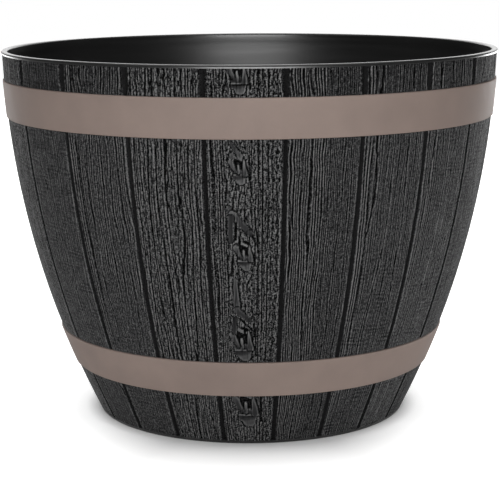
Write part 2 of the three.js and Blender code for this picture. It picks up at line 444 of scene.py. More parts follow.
@dataclass(frozen=True)
class SmoothResin(PatchyFinish):
    """The same polypropylene where the tool is polished: black and semi-gloss.

    The melt leaves faint streaks that run level round the pot, and hands polish the lip.
    """

    name: str = "smooth_resin"
    shades: tuple[str, str] = ("101010", "181818")
    roughness: tuple[float, float] = (0.34, 0.42)
    ior: float = 1.49
    shine: float = 0.7
    patch: tuple[float, float, float] = (160 * MM, 160 * MM, 7 * MM)
    patch_detail: float = 4.0
    skin_size: float = 3 * MM
    skin_rise: float = 0.03 * MM
    lip_foot: float = 288 * MM
    lip_fade: float = 1 * MM
    lip_polish: float = 0.8

    def wear_and_sheen(self, tree: bpy.types.NodeTree, place: Socket, rough: Socket) -> Socket:
        """Makes the lip smoother than the rest.

        Args:
            tree: The material's node tree.
            place: Each point's place.
            rough: Roughness before wear.

        Returns:
            Roughness after wear.
        """
        height = add_node(tree, "SeparateXYZ", out="Z", Vector=place)
        low, high = self.lip_foot, self.lip_foot + self.lip_fade
        polish = self.lip_polish
        wear = add_node(tree, "MapRange", Value=height, in_1=low, in_2=high, in_3=1.0, in_4=polish)
        return add_node(tree, "Math", TIMES, in_0=rough, in_1=wear)


@dataclass(frozen=True)
class TaupePaint(PatchyFinish):
    """Sprayed matt taupe paint on the hoops: even, with a faint cloudiness and a fine orange peel."""

    name: str = "taupe_paint"
    shades: tuple[str, str] = ("776963", "897a72")
    roughness: tuple[float, float] = (0.6, 0.7)
    ior: float = 1.5
    shine: float = 0.2
    patch: tuple[float, float, float] = (26 * MM, 26 * MM, 26 * MM)
    patch_detail: float = 5.0
    skin_size: float = 1.2 * MM
    skin_rise: float = 0.04 * MM


@dataclass(frozen=True)
class BlackRubber(PatchyFinish):
    """Moulded black rubber: matt, with a grey bloom in patches and a fine spark-eroded grain.

    The real grain is about 0.2 mm, too fine to show here, so it is drawn coarser.
    """

    name: str = "black_rubber"
    shades: tuple[str, str] = ("161616", "2a2a29")
    roughness: tuple[float, float] = (0.7, 0.9)
    ior: float = 1.52
    shine: float = 0.5
    patch: tuple[float, float, float] = (9 * MM, 9 * MM, 9 * MM)
    patch_detail: float = 4.0
    skin_size: float = 0.5 * MM
    skin_rise: float = 0.03 * MM


@dataclass(frozen=True)
class StudioPaper:
    """Matt white background paper, faintly mottled, which a glow of painted light keeps white away from the
    pot, so that the glow sets where the pot's shadow ends.

    Only the camera sees the glow, so it lights nothing. It has three parts: one all round, one beside
    the pot, and one far away. Each is given as the distance from the pot's axis at which it starts,
    the distance at which it is full, and its strength there.
    """

    shades: tuple[str, str] = ("f0f0f0", "f4f4f4")
    roughness: float = 0.9
    shine: float = 0.1
    mottle_size: float = 40 * MM
    near_glow: tuple[float, float, float] = (115 * MM, 185 * MM, 0.62)
    side_glow: tuple[float, float, float] = (124 * MM, 137 * MM, 0.42)
    far_glow: tuple[float, float, float] = (400 * MM, 1500 * MM, 0.4)
    beside: tuple[float, float] = (0.45, 0.85)  # sine of the angle from the front, none and full

    def material(self) -> bpy.types.Material:
        """Makes the material.

        Returns:
            The material.
        """
        material, tree, shader, place = new_material("studio_paper")
        mottle = add_node(tree, "TexNoise", Vector=place, Scale=1 / self.mottle_size, Detail=3.0)
        first, second = (linear_colour(shade) for shade in self.shades)
        colour = add_node(tree, "Mix", COLOURS, 2, Factor=mottle, in_6=first, in_7=second)
        away = add_node(tree, "VectorMath", {"operation": "LENGTH"}, "Value", in_0=place)
        near, side, far = (
            add_node(tree, "MapRange", Value=away, in_1=start, in_2=full, in_3=0.0, in_4=strength)
            for start, full, strength in (self.near_glow, self.side_glow, self.far_glow)
        )
        across = add_node(tree, "SeparateXYZ", out="X", Vector=place)
        aside = add_node(tree, "Math", {"operation": "ABSOLUTE"}, in_0=across)
        sine = add_node(tree, "Math", {"operation": "DIVIDE"}, in_0=aside, in_1=away)
        sideways = add_node(tree, "MapRange", Value=sine, in_1=self.beside[0], in_2=self.beside[1])
        both = add_node(tree, "Math", TIMES_PLUS, in_0=side, in_1=sideways, in_2=near)
        whole = add_node(tree, "Math", {"operation": "ADD"}, in_0=both, in_1=far)
        # painted light: the paper glows for the camera alone, fading in away from the foot, which sets the
        # edge of the pot's shadow
        seen = add_node(tree, "LightPath", out="Is Camera Ray")
        glow = add_node(tree, "Math", TIMES, in_0=seen, in_1=whole)
        fill(shader, Base_Color=colour, Emission_Color=colour, Emission_Strength=glow)
        fill(shader, Roughness=self.roughness, Specular_IOR_Level=self.shine)
        return material


# ---- Grain --------------------------------------------------------------------------------------


class Grain(Enum):
    """The carved patterns, in their order round the pot from the front stave to the right."""

    KNOTTY = "knots and scars between wavy lines and rough stipple"
    RIDGED = "fine straight ridges side by side"
    BUNDLED = "a few strong ridges beside the left seam and faint saw marks"
    SPLIT = "a few long drying splits in a smooth board"
    WORN = "faint lines and soft saw marks"
    LINED = "grouped lines that fade towards the foot"
    CRACKED = "long forking cracks with rough islands"


class SlopeNoise:
    """Smooth noise from random slopes on a lattice, about -1 to 1, and the same on every run."""

    lattice = 256
    gain = 1.5

    def __init__(self, seed: int) -> None:
        """Draws the slopes.

        Args:
            seed: Fixes the draw.
        """
        turns = np.random.default_rng(seed).uniform(0, 2 * np.pi, (self.lattice, self.lattice))
        self.slope_x = np.cos(turns)
        self.slope_y = np.sin(turns)

    def at(self, x: Field, y: Field) -> Field:
        """Reads the noise.

        Args:
            x: Places across, in lattice cells.
            y: Places along, in lattice cells.

        Returns:
            One value for each place.
        """
        column, row = np.floor(x).astype(int), np.floor(y).astype(int)
        over, up = x - column, y - row

        def pull(right: int, above: int) -> Field:
            """What the slope at one corner of the cell gives."""
            corner = ((row + above) % self.lattice, (column + right) % self.lattice)
            return self.slope_x[corner] * (over - right) + self.slope_y[corner] * (up - above)

        ease_x, ease_y = smooth_step(over, 0, 1), smooth_step(up, 0, 1)
        low = blend_fields(pull(0, 0), pull(1, 0), ease_x)
        high = blend_fields(pull(0, 1), pull(1, 1), ease_x)
        return self.gain * blend_fields(low, high, ease_y)


@dataclass(frozen=True)
class Stroke:
    """A tapering mark in the grain, straight from one end to the other, in millimetres.

    x is measured across the stave from its middle line and z up. The levels are how far its surface
    lies below the face at each end. A smooth of 1 wipes the stipple off it, and 0 leaves it rough.
    """

    x0: float
    z0: float
    x1: float
    z1: float
    width0: float
    width1: float
    level0: float
    level1: float
    smooth: float = 1.0

    def moved(self, across: float, up: float, mirror: float = 1.0, scale: float = 1.0) -> "Stroke":
        """The same stroke at another place.

        Args:
            across: Added to x, after mirroring and scaling.
            up: Added to z, after scaling.
            mirror: -1 turns the stroke left for right.
            scale: Makes it larger or smaller.

        Returns:
            The moved stroke.
        """
        side = mirror * scale
        return replace(
            self,
            x0=self.x0 * side + across,
            z0=self.z0 * scale + up,
            x1=self.x1 * side + across,
            z1=self.z1 * scale + up,
            width0=self.width0 * scale,
            width1=self.width1 * scale,
        )


LIGHTER = {Grain.RIDGED: -0.05, Grain.SPLIT: 0.05}  # how much lighter than the rest a pattern is
PIT, SHELF = 0.95, 0.0  # the deepest and the highest parts of a knot, below the face, in mm

# One knot, drawn from the middle of its ledge: a deep pit with slivers standing in it, a ledge across at
# the face, and a smooth bowl below. The pit is dark with painted shade and the ledge bright with a painted
# highlight, both from the stave's tone.
KNOT = (
    Stroke(-0.5, 10.5, 0.6, 2.0, 8.0, 10.5, PIT, PIT, 0.3),
    Stroke(-0.3, -1.3, 0.3, -3.8, 10.4, 6.4, 0.3, 0.0),
    Stroke(-4.9, 0.0, 4.9, 0.0, 0.8, 0.9, SHELF, SHELF),
    Stroke(-1.3, 1.6, -1.6, 7.2, 1.8, 1.3, 0.15, 0.05),
    Stroke(3.3, 1.2, 2.3, 11.5, 3.6, 1.0, 0.2, 0.05),
    Stroke(-3.2, 2.4, -6.8, 9.6, 1.6, 3.4, 0.3, 0.05),
    Stroke(-6.2, 14.5, 0.8, 10.8, 2.6, 1.8, 0.1, 0.2),
    Stroke(6.2, -3.5, 6.4, 14.0, 1.1, 0.9, PIT, PIT, 0.0),
)

# Height of each knot's ledge, its place across the stave and its scale, from the top one down.
KNOT_PLACES = (
    (279.6, -3.2, 1.15),
    (215.0, -3.2, 1.0),
    (151.7, 0.0, 1.05),
    (81.5, -1.8, 1.3),
    (26.0, 0.6, 1.45),
)

# Smooth scars and short cracks between the knots, with heights above the ground.
SCARS = (
    Stroke(-12.2, 192.0, -8.5, 186.0, 1.6, 4.4, 0.2, 0.05),
    Stroke(-9.5, 186.8, 3.0, 173.0, 4.6, 4.4, 0.05, 0.3),
    Stroke(3.0, 173.0, 6.0, 168.0, 3.4, 1.2, 0.3, 0.9),
    Stroke(-10.4, 184.0, -10.6, 167.0, 4.0, 3.2, 0.25, 0.35),
    Stroke(-6.9, 180.5, -7.3, 168.0, 1.2, 1.8, PIT, PIT, 0.0),
    Stroke(-3.5, 173.5, -4.5, 164.0, 1.0, 2.0, PIT, 1.0, 0.0),
    Stroke(-7.9, 137.0, -6.9, 114.0, 2.6, 4.8, 0.1, 0.15),
    Stroke(-6.8, 113.5, 2.0, 105.0, 4.8, 2.4, 0.15, 0.4),
    Stroke(-5.6, 134.0, -3.6, 116.0, 0.9, 1.5, PIT, PIT, 0.0),
    Stroke(-8.6, 107.0, -8.8, 96.0, 3.2, 2.6, 0.5, 0.3),
    Stroke(-5.0, 107.0, 5.0, 97.0, 1.2, 1.4, PIT, PIT, 0.0),
    Stroke(5.2, 103.0, 5.8, 93.0, 1.2, 1.3, PIT, PIT, 0.0),
    Stroke(-1.6, 104.0, -1.2, 93.0, 1.0, 1.6, PIT, 1.0, 0.0),
    Stroke(-3.6, 262.0, 7.5, 244.0, 3.2, 2.0, 0.1, 0.5),
    Stroke(-10.5, 239.0, -3.0, 228.0, 1.6, 3.6, 0.3, 0.1),
    Stroke(-9.0, 156.0, -10.4, 141.0, 1.2, 2.4, 0.9, 0.6, 0.4),
    Stroke(6.5, 190.0, 8.8, 158.0, 0.9, 1.0, 1.0, 1.0, 0.0),
)

# The deep lines right of the knots: their places across the stave and half their width, as shares
# of its width, and their depth in mm.
DEEP_LINES = (0.665, 0.72, 0.79)
DEEP_HALF, DEEP_DEPTH = 0.011, 1.3


@dataclass
class CarvedFace:
    """The carved face of one stave on an even sheet of points, rows up and columns across.

    Depths are millimetres below the staves' face. The across values run from 0 at the left seam to
    1 at the right one. Charred wood's finest lines are about 1 mm apart on such a pot. They are drawn
    1.6 mm apart or more, and the worms between them 0.9 mm wide, because finer ones don't show.
    """

    wall: WallCurve
    grain: Grain
    number: int
    left: float
    right: float
    columns: int
    rows: Field
    seam_mouth: float = 4.6
    seam_depth: float = 1.8
    deepest: float = 1.35  # no grain is carved deeper than this
    nominal_width: float = 56.0  # the patterns are laid out on a stave this wide
    crowding: float = 0.12  # how much closer than even the columns stand at the seams
    draws: int = 12  # how many noises a stave has
    saw_step: float = 2.9  # distance from saw mark to saw mark
    saw_slant: float = 0.04  # how much the saw marks fall to the right
    noise_start: tuple[float, float] = (31.7, 17.3)  # lattice cell at the stave's lower left corner
    soft_edge: float = 0.35  # how far a stroke's edge eases to each side
    crease_off: float = 0.6  # how far the crease beside a smooth stroke, dark with painted shade, lies outside it
    crease_half: float = 0.4
    knot_step: float = 14.0  # how much lower the knots lie on each further knotty stave
    blur_rounds: int = 6  # rounds of averaging that give the level around a point
    plain_tone: float = 0.55
    crest_tone: float = 1.5  # painted highlight gained for each mm that a point stands above the level around it
    depth_tone: float = 0.4  # painted shade: tone lost for each mm of depth
    shoulder_highlight_tone: float = 0.22  # painted highlight gained on the shoulder beside a seam
    # painted shade that fills the V of a seam
    seam_tone: float = 0.2
    noises: list[SlopeNoise] = field(init=False)

    def __post_init__(self) -> None:
        """Lays out the sheet of points and draws the stave's own noises."""
        self.noises = [SlopeNoise(1000 * self.number + draw) for draw in range(self.draws)]
        share = np.linspace(0, 1, self.columns + 1)
        share = share - self.crowding * np.sin(2 * np.pi * share) / (2 * np.pi)
        self.share, self.z = np.meshgrid(share, self.rows / MM)
        turn = self.right - self.left
        self.width = self.wall.face_radius(self.z * MM) / MM * turn
        self.across = self.share * self.nominal_width
        self.middle = (self.share - 0.5) * self.width
        self.rough = np.ones_like(self.z)

    def noise(self, draw: int, length_x: float, length_z: float) -> Field:
        """One of the stave's noises, its features stretched to these lengths in mm."""
        start_x, start_z = self.noise_start
        return self.noises[draw].at(self.across / length_x + start_x, self.z / length_z + start_z)

    def lines(self, draw: int, period: float, wobble: float, strength: float) -> Field:
        """Ridges that run up the stave side by side.

        Args:
            draw: Which noises to bend them with.
            period: Distance from ridge to ridge, in mm.
            wobble: How far they bend aside, in mm.
            strength: Depth of the grooves between them, in mm.

        Returns:
            Depths below the face.
        """
        bend = wobble * (self.noise(draw, 30, 60) + 0.35 * self.noise(draw + 1, 8, 14))
        uneven = 0.7 * self.noises[draw + 2].at(self.across / (1.9 * period), self.z / 400)
        phase = (self.across + bend) / period + uneven
        crest = 0.5 + 0.5 * np.cos(2 * np.pi * phase)
        nicks = 0.45 * self.noise(draw + 2, 1.7, 2.4)
        lasting = np.clip(0.75 + 0.9 * self.noise(draw + 3, 2.6, 30) + nicks, 0.1, 1.3)
        return strength * lasting * (1 - crest)

    def worms(self, draw: int, size: float, depth: float) -> Field:
        """Short crooked bumps of this size, with this depth between them, both in mm."""
        bumps = 0.8 * self.noise(draw, size, 4.5 * size) + 0.5 * self.noise(draw + 1, size, 1.8 * size)
        return depth * (1 - smooth_step(bumps, -0.55, 0.3))

    def cracks(self, draw: int, spacing: float, length: float, width: float, depth: float) -> Field:
        """Long forking cracks.

        Args:
            draw: Which noises to use.
            spacing: Distance between cracks, in mm.
            length: How far they run before they turn, in mm.
            width: Half the width of a crack, in mm.
            depth: Depth in mm.

        Returns:
            Depths below the face.
        """
        jag = 0.4 / spacing * self.noise(draw + 1, 3, 5)
        bend = 0.35 * self.noise(draw, 2 * spacing, length) + jag
        uneven = 0.5 * self.noises[draw + 2].at(self.across / (1.4 * spacing), self.z / (2 * length))
        phase = self.across / spacing + bend + uneven
        off = np.abs(phase - np.round(phase)) * spacing
        broken = smooth_step(self.noise(draw + 2, 1.4 * spacing, 0.8 * length), -0.6, -0.1)
        return depth * np.exp(-((off / width) ** 2)) * broken

    def saw_marks(self, draw: int, depth: float) -> Field:
        """Faint marks that a saw leaves across the grain.

        Args:
            draw: Which noise to use.
            depth: Depth in mm.

        Returns:
            Depths below the face.
        """
        phase = (self.z + self.saw_slant * self.across) / self.saw_step + 0.6 * self.noise(draw, 28, 9)
        patchy = smooth_step(self.noise(draw + 1, 12, 9), -0.2, 0.5)
        return depth * patchy * (0.5 + 0.5 * np.cos(2 * np.pi * phase))

    def stamp(self, depth: Field, strokes: Sequence[Stroke]) -> Field:
        """Presses strokes into the grain, one after another.

        Args:
            depth: Depths before.
            strokes: The strokes, in the order that they are pressed.

        Returns:
            Depths after. The stave's roughness loses what the strokes smooth.
        """
        ragged = 0.3 * self.noise(10, 2.5, 4)
        for stroke in strokes:
            run_x, run_z = stroke.x1 - stroke.x0, stroke.z1 - stroke.z0
            length = run_x * run_x + run_z * run_z
            past = ((self.middle - stroke.x0) * run_x + (self.z - stroke.z0) * run_z) / length
            past = np.clip(past, 0, 1)
            off_x = self.middle - (stroke.x0 + past * run_x)
            off_z = self.z - (stroke.z0 + past * run_z)
            distance = np.hypot(off_x, off_z) + ragged
            half = blend_fields(stroke.width0, stroke.width1, past) / 2
            level = blend_fields(stroke.level0, stroke.level1, past)
            inside = 1 - smooth_step(distance, half - self.soft_edge, half + self.soft_edge)
            if stroke.smooth > 0.5:
                crease = np.exp(-(((distance - half - self.crease_off) / self.crease_half) ** 2))
                depth = np.maximum(depth, (0.5 + 0.5 * self.noise(9, 4, 4)) * crease)
            depth = blend_fields(depth, level, inside)
            self.rough = self.rough * (1 - stroke.smooth * inside)
        return depth

    def knotty(self) -> Field:
        """Wavy lines on the left, knots and scars down the middle, rough stipple on the right.

        Returns:
            Depths below the face.
        """
        left = 1 - smooth_step(self.share, 0.2, 0.3)
        right = smooth_step(self.share, 0.56, 0.64)
        waved = self.lines(0, period=2.1, wobble=1.8, strength=0.8) + self.worms(4, size=0.9, depth=0.3)
        coarse = self.worms(5, size=0.95, depth=0.5)
        coarse = coarse + self.cracks(6, spacing=4.5, length=18, width=0.4, depth=0.8)
        fine = self.worms(7, size=0.9, depth=0.5) + self.lines(2, period=2.9, wobble=2.0, strength=0.36)
        sway = 0.004 * self.noise(8, 9, 11)
        away = [(self.share - line + sway) / DEEP_HALF for line in DEEP_LINES]
        deep = sum(DEEP_DEPTH * np.exp(-(off**2)) for off in away)
        deep = deep * smooth_step(self.noise(9, 6, 22), -0.5, 0.1)
        depth = blend_fields(coarse, waved, left)
        depth = blend_fields(depth, np.maximum(fine, deep), right)
        mirror = -1.0 if self.number % 2 else 1.0
        shift = self.knot_step * (self.number // len(Grain))
        for height, across, scale in KNOT_PLACES:
            placed = [stroke.moved(mirror * across, height - shift, mirror, scale) for stroke in KNOT]
            depth = self.stamp(depth, placed)
        depth = self.stamp(depth, [stroke.moved(0.0, -shift, mirror) for stroke in SCARS])
        return depth + 0.1 * (1 - self.rough) * smooth_step(self.noise(9, 1.2, 12), -0.1, 0.6)

    def ridged(self) -> Field:
        """Fine straight ridges, strong on the left and faint on the right.

        Returns:
            Depths below the face.
        """
        self.rough *= 0.4
        strength = 0.95 - 0.5 * smooth_step(self.share, 0.45, 0.75)
        wide = self.lines(0, period=1.95, wobble=2.0, strength=1.0)
        narrow = self.lines(4, period=1.6, wobble=1.2, strength=1.0)
        ridges = blend_fields(wide, narrow, smooth_step(self.share, 0.5, 0.62))
        depth = strength * ridges + self.worms(8, size=0.9, depth=0.12)
        return depth + self.cracks(9, spacing=19, length=50, width=0.35, depth=0.35)

    def bundled(self) -> Field:
        """Strong ridges beside the left seam, then faint lines, with saw marks in the lower half.

        Returns:
            Depths below the face.
        """
        self.rough *= 0.3
        near = 1 - smooth_step(self.share, 0.14, 0.24)
        strong = self.lines(0, period=2.5, wobble=1.3, strength=0.85)
        faint = self.lines(4, period=1.7, wobble=1.2, strength=0.42)
        faint = faint + self.worms(8, size=0.9, depth=0.12)
        low = 1 - smooth_step(self.z, 110, 190)
        depth = blend_fields(faint, strong, near)
        depth = depth + self.cracks(9, spacing=13, length=90, width=0.4, depth=0.8)
        return depth + low * self.saw_marks(2, depth=0.18)

    def split(self) -> Field:
        """A few long splits in a smooth board.

        Returns:
            Depths below the face.
        """
        self.rough *= 0.3
        faint = self.lines(0, period=1.8, wobble=1.5, strength=0.5) + self.saw_marks(2, depth=0.12)
        depth = faint + self.cracks(4, spacing=12, length=90, width=0.45, depth=1.1)
        return depth + self.worms(8, size=0.95, depth=0.12)

    def worn(self) -> Field:
        """Faint lines and soft saw marks.

        Returns:
            Depths below the face.
        """
        self.rough *= 0.3
        faint = self.lines(0, period=2.4, wobble=1.4, strength=0.18) + self.saw_marks(5, depth=0.12)
        depth = faint + self.worms(8, size=2.4, depth=0.14)
        return depth + self.cracks(9, spacing=17, length=70, width=0.35, depth=0.6)

    def lined(self) -> Field:
        """Grouped lines that fade towards the foot.

        Returns:
            Depths below the face.
        """
        self.rough *= 0.35
        fade = 0.35 + 0.65 * smooth_step(self.z, 70, 150)
        near = 1 - smooth_step(self.share, 0.12, 0.24)
        strong = self.lines(0, period=2.9, wobble=1.0, strength=0.9)
        fine = self.lines(4, period=2.0, wobble=2.2, strength=0.6)
        depth = blend_fields(fine, strong, near) * fade
        return depth + (1 - fade) * self.saw_marks(2, depth=0.2) + self.worms(8, size=0.9, depth=0.16)

    def cracked(self) -> Field:
        """Long forking cracks with rough islands between them.

        Returns:
            Depths below the face.
        """
        self.rough *= 0.7
        islands = self.worms(0, size=0.95, depth=0.36)
        long_cracks = self.cracks(1, spacing=7.0, length=60, width=0.65, depth=1.3)
        short_cracks = self.cracks(4, spacing=4.2, length=24, width=0.4, depth=0.9)
        depth = np.maximum(islands, np.maximum(long_cracks, short_cracks))
        return depth + self.lines(7, period=1.9, wobble=2.0, strength=0.3)

    def seam_share(self) -> Field:
        """How deep each point lies in the V beside it. The mouths are ragged, and widen at the lip.

        Returns:
            1 at the V's bottom, 0 at its mouth, and less outside.
        """
        side = 3.1 + np.round(self.share)  # each seam reads the noises at a column of its own
        jag = 0.6 * self.noises[11].at(side, self.z / 2.6) + 0.4 * self.noises[10].at(side, self.z / 11)
        top = smooth_step(self.z, 268, 276)
        half = (self.seam_mouth / 2 + 0.5 * jag) * (1 + (0.5 + 0.5 * jag) * top)
        to_seam = np.minimum(self.share, 1 - self.share) * self.width
        return np.minimum(1 - to_seam / np.maximum(half, 0.5), 1)

    def carve(self, hoops: Sequence[HoopPlace]) -> tuple[Field, Field, Field]:
        """Carves the whole face.

        Args:
            hoops: The hoops, whose recesses are flat.

        Returns:
            Depth in metres, tone and stipple, one value for each point of the sheet.
        """
        patterns: dict[Grain, Callable[[], Field]] = {
            Grain.KNOTTY: self.knotty,
            Grain.RIDGED: self.ridged,
            Grain.BUNDLED: self.bundled,
            Grain.SPLIT: self.split,
            Grain.WORN: self.worn,
            Grain.LINED: self.lined,
            Grain.CRACKED: self.cracked,
        }
        depth = np.clip(patterns[self.grain](), 0, self.deepest)
        nearness = self.seam_share()
        seam = np.maximum(nearness, 0)
        depth = np.maximum(depth * (1 - seam), self.seam_depth * seam)
        tone = self.tone_of(depth, nearness)
        rough = self.rough * (1 - seam)
        for hoop in hoops:
            low, high = hoop.recess
            under = (self.z * MM > low - SAME_POINT) & (self.z * MM < high + SAME_POINT)
            depth = np.where(under, hoop.recess_depth / MM, depth)
        return depth * MM, tone, rough

    def tone_of(self, depth: Field, nearness: Field) -> Field:
        """Shade of each point: painted highlight on the crests and beside the seams, and painted shade in
        the grooves, cracks and seams.

        Args:
            depth: Depths below the face, in mm.
            nearness: How near each point lies to a seam, as seam_share gives it.

        Returns:
            Values from 0 to 1.
        """
        around = depth
        for _ in range(self.blur_rounds):
            padded = np.pad(around, 1, mode="edge")
            beside = padded[1:-1, :-2] + padded[1:-1, 2:]
            around = (beside + padded[:-2, 1:-1] + padded[2:, 1:-1]) / 4
        standing = around - depth
        top = smooth_step(self.z, 262, 275)  # painted shade under the lip: the grain is darker above the upper hoop, with deeper painted shade in its grooves and a bolder painted highlight on coarse crests
        coarse = 1.0 if self.grain in (Grain.KNOTTY, Grain.CRACKED) else 0.0
        # painted highlight on what stands above its surroundings, and painted shade growing with depth
        crests = (self.crest_tone + 0.5 * top * coarse) * standing
        grooves = (self.depth_tone + 0.2 * top) * depth
        tone = self.plain_tone + LIGHTER.get(self.grain, 0.0) - 0.06 * top + crests - grooves
        # painted highlight on the shoulders beside each seam, in patches
        wear_and_sheen = np.exp(-(((nearness + 0.25) / 0.2) ** 2)) * smooth_step(self.noise(8, 5, 9), -0.6, 0.2)
        tone = np.clip(tone + self.shoulder_highlight_tone * wear_and_sheen, 0, 1)
        # painted shade fills the V of each seam
        return blend_fields(tone, self.seam_tone, smooth_step(nearness, 0.05, 0.4))


# ---- Sub-assemblies -----------------------------------------------------------------------------


@dataclass
class StaveReliefs:
    """The carved faces of the staves, one relief for each, laid round the shell's core."""

    wall: WallCurve
    hoops: Sequence[HoopPlace]
    columns: int = 128
    row_step: float = 0.85 * MM
    back_depth: float = 2.6 * MM
    back_steps: int = 12
    ledge_step: float = 0.05 * MM

    @property
    def mean_turn(self) -> float:
        """The angle that a stave takes up on average, in radians."""
        return FULL_TURN / self.wall.staves

    def rows(self) -> list[float]:
        """Places the rows of points: evenly on the carved face, and few under the hoops.

        Returns:
            Their heights, from the lowest up.
        """
        edges = [self.wall.foot_strip]
        for hoop in sorted(self.hoops, key=lambda place: place.bottom):
            edges += list(hoop.recess)
        edges.append(self.wall.carved_top)
        heights: list[float] = []
        for low, high in zip(edges[::2], edges[1::2]):
            carved_low = low if low == edges[0] else low + self.ledge_step
            carved_high = high if high == edges[-1] else high - self.ledge_step
            count = round((carved_high - carved_low) / self.row_step)
            heights += list(np.linspace(carved_low, carved_high, count + 1))
        for hoop in self.hoops:
            heights += list(np.linspace(*hoop.recess, 3))
        return sorted(heights)

    def build(self, material: bpy.types.Material) -> list[bpy.types.Object]:
        """Builds every stave's relief.

        Args:
            material: The charred finish.

        Returns:
            The reliefs, from the front one round to the right.
        """
        kinds = list(Grain)
        rows = self.rows()
        blank = self.blank(rows, material)
        reliefs = []
        for number in range(self.wall.staves):
            grain = kinds[number % len(kinds)]
            left, right = self.wall.seam_angle(number - 1), self.wall.seam_angle(number)
            face = CarvedFace(self.wall, grain, number, left, right, self.columns, np.array(rows))
            relief = new_object(f"stave_relief_{number + 1:02d}", blank.data.copy())
            relief.data.name = relief.name
            self.press(relief.data, face, rows)
            reliefs.append(relief)
        bpy.data.objects.remove(blank)
        return reliefs

    def blank(self, rows: list[float], material: bpy.types.Material) -> bpy.types.Object:
        """Builds the plain closed slab that every relief is pressed from.

        Args:
            rows: Heights of the rows of points.
            material: The charred finish.

        Returns:
            The slab. It starts at +X and is as wide as a stave is on average.
        """
        back = np.linspace(rows[-1], rows[0], self.back_steps + 1)
        outline = [(self.wall.face_radius(z), z) for z in rows]
        outline += [(self.wall.face_radius(z) - self.back_depth, z) for z in back]
        return piece_from(turned(outline, self.columns, self.mean_turn), "stave_blank", material)

    def press(self, mesh: bpy.types.Mesh, face: CarvedFace, rows: list[float]) -> None:
        """Presses the carved face into a slab, and gives it its attributes and its UV map.

        Args:
            mesh: The slab's mesh.
            face: The stave's carved face.
            rows: Heights of the rows of points.
        """
        depth, tone, rough = face.carve(self.hoops)
        place = read_all(mesh.vertices, "co", float, 3)
        radius = np.hypot(place[:, 0], place[:, 1])
        angle = np.arctan2(place[:, 1], place[:, 0])
        column = np.rint(angle / self.mean_turn * self.columns).astype(int)
        row = np.abs(place[:, 2:3] - np.array(rows)[None, :]).argmin(axis=1)
        outside = radius > self.wall.face_radius(place[:, 2]) - self.back_depth / 2
        sunk = np.where(outside, radius - depth[row, column], radius)
        spread = blend_fields(face.left, face.right, face.share[0][column])
        place[:, 0] = sunk * np.cos(spread)
        place[:, 1] = sunk * np.sin(spread)
        mesh.vertices.foreach_set("co", place.ravel())
        for name, values in ((TONE, tone), (STIPPLE, rough)):
            layer = mesh.attributes.new(name, "FLOAT", "POINT")
            layer.data.foreach_set("value", np.where(outside, values[row, column], 0.0))
        self.shade(mesh, outside, row, rows)
        self.unroll(mesh, outside, face, place)
        mesh.update()

    def shade(self, mesh: bpy.types.Mesh, outside: Field, row: Field, rows: list[float]) -> None:
        """Shades the carved face smooth, with crisp edges at its rim and at the hoops' recesses.

        Args:
            mesh: The slab's mesh.
            outside: Which points lie on the carved face.
            row: The row of each point.
            rows: Heights of the rows.
        """
        mesh.polygons.foreach_set("use_smooth", np.ones(len(mesh.polygons), bool))
        ends = read_all(mesh.edges, "vertices", int, 2)
        corners = read_all(mesh.loops, "vertex_index", int)
        faces_at = np.bincount(corners, minlength=len(mesh.vertices))
        ledges = [z for hoop in self.hoops for z in hoop.recess]
        crisp_row = np.array([min(abs(z - ledge) for ledge in ledges) < 2 * self.ledge_step for z in rows])
        level = (row[ends[:, 0]] == row[ends[:, 1]]) & outside[ends].all(axis=1)
        rim = (faces_at[ends] < 4).all(axis=1) | (outside[ends].sum(axis=1) == 1)
        first_or_last = (row[ends[:, 0]] == 0) | (row[ends[:, 0]] == len(rows) - 1)
        sharp = rim | (level & (crisp_row[row[ends[:, 0]]] | first_or_last))
        layer = mesh.attributes.new("sharp_edge", "BOOLEAN", "EDGE")
        layer.data.foreach_set("value", sharp)

    def unroll(self, mesh: bpy.types.Mesh, outside: Field, face: CarvedFace, place: Field) -> None:
        """Lays the slab's UV map out as a sheet: the carved face above and the hidden sides below.

        The two sides at the seams get strips below 0.04 of the sheet's height, and the back the strip
        from there to 0.08. The carved face takes the rest, from 0.1 up.

        Args:
            mesh: The slab's mesh.
            outside: Which points lie on the carved face.
            face: The stave's carved face.
            place: The points.
        """
        corners = read_all(mesh.loops, "vertex_index", int)
        starts = read_all(mesh.polygons, "loop_start", int)
        totals = read_all(mesh.polygons, "loop_total", int)
        on_face = np.minimum.reduceat(outside[corners].astype(int), starts)
        shown = np.repeat((on_face > 0) & (totals == 4), totals)
        cap = np.repeat(totals > 4, totals)
        up = place[corners, 2] / self.wall.height
        radius = np.hypot(place[corners, 0], place[corners, 1])
        inward = (self.wall.face_radius(place[corners, 2]) - radius) / self.back_depth
        angle = np.arctan2(place[corners, 1], place[corners, 0]) - face.left + math.pi
        across = (angle % FULL_TURN - math.pi) / (face.right - face.left)
        far_side = np.repeat(across[starts] > 0.5, totals)
        across_map = 0.01 + 0.98 * np.where(cap, up, across)
        hidden_up = np.where(cap, 0.008 + 0.012 * inward + 0.016 * far_side, 0.045 + 0.035 * up)
        up_map = np.where(shown, 0.1 + 0.89 * up, hidden_up)
        layer = mesh.uv_layers.new(name=BAKE_MAP)
        layer.data.foreach_set("uv", np.stack([across_map, up_map], 1).ravel())


